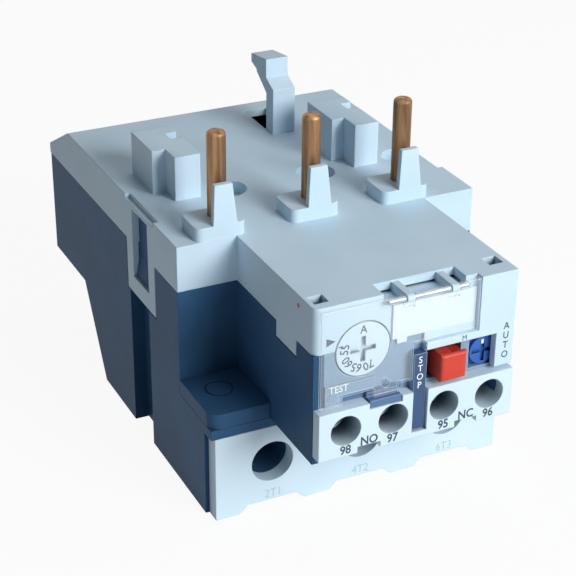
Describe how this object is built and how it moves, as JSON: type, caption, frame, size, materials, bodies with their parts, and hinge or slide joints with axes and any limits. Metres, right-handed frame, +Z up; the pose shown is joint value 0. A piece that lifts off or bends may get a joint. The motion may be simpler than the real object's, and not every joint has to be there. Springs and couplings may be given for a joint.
{
  "type": "thermal overload relay",
  "caption": "Thermal overload relay with round plug-in pins, a top hook, shrouded box terminals, setting dial, stop and reset buttons and a clear flap.",
  "frame": {"origin": "on the flat top face, at the middle of the width and in line with the front of the wide casing", "axes": "+Z up out of the top face towards the contactor, +Y to the back, +X to the right seen from the front"},
  "size_m": [0.07, 0.1199, 0.0784],
  "materials": {
    "base_plastic": "fine moulded texture",
    "cover_plastic": "fine moulded texture",
    "shroud_plastic": "smooth moulded",
    "panel_plastic": "smooth moulded",
    "label_plastic": "smooth",
    "clear_plastic": "clear moulded plastic",
    "red_plastic": "smooth moulded",
    "blue_plastic": "smooth moulded",
    "copper": "bare drawn copper alloy",
    "steel": "zinc plated",
    "contact_metal": "stamped brass with silver tips",
    "strip_metal": "rolled bimetal",
    "heater_wire": "drawn resistance wire",
    "mechanism_plastic": "moulded"
  },
  "bodies": {
    "housing": {"base_housing": "base_plastic", "top_cover": "cover_plastic", "terminal_shroud": "shroud_plastic", "terminal_cap_left": "base_plastic", "terminal_cap_right": "base_plastic", "aux_terminal_block": "shroud_plastic", "front_panel": "panel_plastic", "label_plate": "label_plastic", "flap_pin": "steel", "pin_first": "copper", "clamp_cage_first": "steel", "load_bar_first": "copper", "bimetal_first": "strip_metal", "heater_first": "heater_wire", "pin_second": "copper", "clamp_cage_second": "steel", "load_bar_second": "copper", "bimetal_second": "strip_metal", "heater_second": "heater_wire", "pin_third": "copper", "clamp_cage_third": "steel", "load_bar_third": "copper", "bimetal_third": "strip_metal", "heater_third": "heater_wire", "lever_pin": "steel", "rocker_pin": "steel", "contact_plate_98": "contact_metal", "contact_plate_97": "contact_metal", "contact_plate_95": "contact_metal", "contact_plate_96": "contact_metal", "aux_washers": "steel", "adjusting_pin": "steel"},
    "flap": {"clear_flap": "clear_plastic"},
    "dial": {"setting_dial": "shroud_plastic"},
    "stop": {"stop_button": "red_plastic", "stop_spring": "steel"},
    "reset": {"reset_plunger": "blue_plastic", "reset_spring": "steel"},
    "selector": {"reset_selector": "blue_plastic"},
    "test": {"test_button": "panel_plastic"},
    "slide": {"push_slide": "mechanism_plastic"},
    "lever": {"compensating_lever": "strip_metal"},
    "rocker": {"trip_rocker": "mechanism_plastic"},
    "carrier": {"contact_carrier": "mechanism_plastic", "nc_bridge": "contact_metal", "no_bridge": "contact_metal"},
    "adjuster": {"adjusting_lever": "mechanism_plastic"},
    "terminal_screw_first_body": {"terminal_screw_first": "steel"},
    "terminal_screw_second_body": {"terminal_screw_second": "steel"},
    "terminal_screw_third_body": {"terminal_screw_third": "steel"},
    "aux_screw_98_body": {"aux_screw_98": "steel"},
    "aux_screw_97_body": {"aux_screw_97": "steel"},
    "aux_screw_95_body": {"aux_screw_95": "steel"},
    "aux_screw_96_body": {"aux_screw_96": "steel"}
  },
  "joints": [
    {"name": "flap_hinge", "type": "hinge", "parent": "housing", "child": "flap", "pos_m": [0, -0.0367, -0.0011], "axis": [-1, 0, 0], "range_deg": [0, 170]},
    {"name": "dial_turn", "type": "hinge", "parent": "housing", "child": "dial", "pos_m": [-0.0109, -0.0354, -0.0109], "axis": [0, 1, 0], "range_deg": [0, 110]},
    {"name": "stop_push", "type": "slide", "parent": "housing", "child": "stop", "axis": [0, 1, 0], "range_m": [0, 0.002], "stiffness_N_per_m": 300},
    {"name": "reset_push", "type": "slide", "parent": "housing", "child": "reset", "axis": [0, 1, 0], "range_m": [0, 0.002], "stiffness_N_per_m": 300},
    {"name": "selector_turn", "type": "hinge", "parent": "reset", "child": "selector", "pos_m": [0.0169, -0.0349, -0.0181], "axis": [0, 1, 0], "range_deg": [0, 90]},
    {"name": "test_push", "type": "slide", "parent": "housing", "child": "test", "axis": [0, 1, 0], "range_m": [0, 0.0015], "stiffness_N_per_m": 200},
    {"name": "terminal_screw_first_turn", "type": "hinge", "parent": "housing", "child": "terminal_screw_first_body", "pos_m": [-0.0211, -0.0063, -0.0455], "axis": [0, 1, 0], "continuous": true},
    {"name": "terminal_screw_second_turn", "type": "hinge", "parent": "housing", "child": "terminal_screw_second_body", "pos_m": [0, -0.0063, -0.0455], "axis": [0, 1, 0], "continuous": true},
    {"name": "terminal_screw_third_turn", "type": "hinge", "parent": "housing", "child": "terminal_screw_third_body", "pos_m": [0.0211, -0.0063, -0.0455], "axis": [0, 1, 0], "continuous": true},
    {"name": "aux_screw_98_turn", "type": "hinge", "parent": "housing", "child": "aux_screw_98_body", "pos_m": [-0.01555, -0.0312, -0.0269], "axis": [0, 1, 0], "continuous": true},
    {"name": "aux_screw_97_turn", "type": "hinge", "parent": "housing", "child": "aux_screw_97_body", "pos_m": [-0.00495, -0.0312, -0.0269], "axis": [0, 1, 0], "continuous": true},
    {"name": "aux_screw_95_turn", "type": "hinge", "parent": "housing", "child": "aux_screw_95_body", "pos_m": [0.0067, -0.0312, -0.0269], "axis": [0, 1, 0], "continuous": true},
    {"name": "aux_screw_96_turn", "type": "hinge", "parent": "housing", "child": "aux_screw_96_body", "pos_m": [0.0173, -0.0312, -0.0269], "axis": [0, 1, 0], "continuous": true},
    {"name": "slide_push", "type": "slide", "parent": "housing", "child": "slide", "axis": [1, 0, 0], "range_m": [0, 0.002], "stiffness_N_per_m": 500},
    {"name": "lever_turn", "type": "hinge", "parent": "housing", "child": "lever", "pos_m": [0.02495, 0.0215, -0.0246], "axis": [0, 0, -1], "range_deg": [0, 11.5]},
    {"name": "rocker_turn", "type": "hinge", "parent": "housing", "child": "rocker", "pos_m": [0.019, 0.0055, -0.0252], "axis": [0, 0, 1], "range_deg": [0, 16.5]},
    {"name": "carrier_travel", "type": "slide", "parent": "housing", "child": "carrier", "axis": [0, -1, 0], "range_m": [0, 0.00195]},
    {"name": "adjuster_turn", "type": "hinge", "parent": "housing", "child": "adjuster", "pos_m": [0.0036, -0.0286, -0.0062], "axis": [0, 1, 0], "range_deg": [0, 5]}
  ],
  "couplings": [
    {"joint": "lever_turn", "follows": "slide_push", "rad_per_m": 96},
    {"joint": "rocker_turn", "follows": "slide_push", "rad_per_m": 139.6},
    {"joint": "carrier_travel", "follows": "slide_push", "ratio": 0.95},
    {"joint": "adjuster_turn", "follows": "dial_turn", "ratio": 0.0418}
  ]
}
